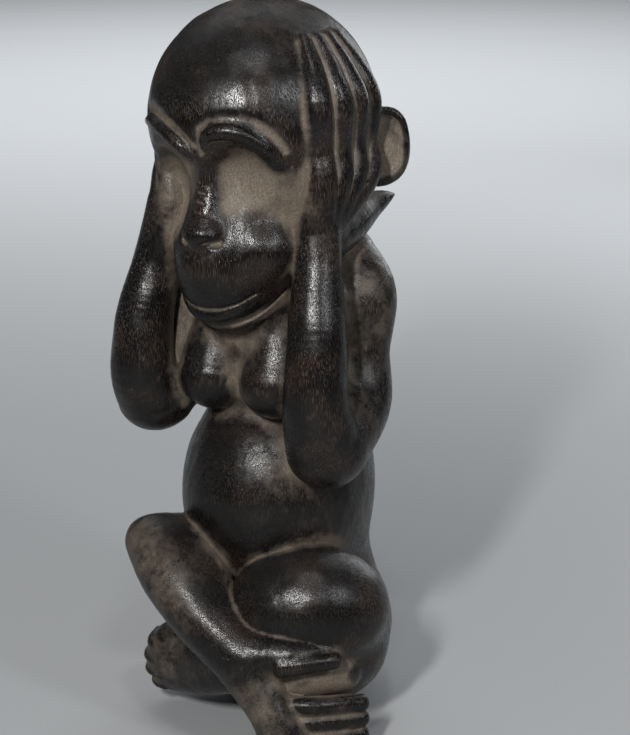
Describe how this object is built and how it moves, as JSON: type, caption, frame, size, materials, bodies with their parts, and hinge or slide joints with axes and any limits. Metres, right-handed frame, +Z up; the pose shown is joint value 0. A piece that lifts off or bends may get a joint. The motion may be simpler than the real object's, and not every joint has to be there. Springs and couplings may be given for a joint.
{
  "type": "seated carved figure",
  "caption": "Seated monkey-like wooden carving with crossed legs and both hands over its ears, resting on a flat underside.",
  "frame": {"origin": "on the flat underside, on the figure's own vertical axis", "axes": "+Z up from the seat to the crown, -Y the way the figure faces, +X to the figure's own left"},
  "size_m": [0.1538, 0.1535, 0.388],
  "materials": {
    "dark_wood": "hand-polished semi-gloss with dusty creases"
  },
  "bodies": {
    "root": {"head": "dark_wood", "left_ear": "dark_wood", "right_ear": "dark_wood", "left_arm": "dark_wood", "right_arm": "dark_wood", "torso": "dark_wood", "left_leg": "dark_wood", "right_leg": "dark_wood"}
  },
  "joints": []
}
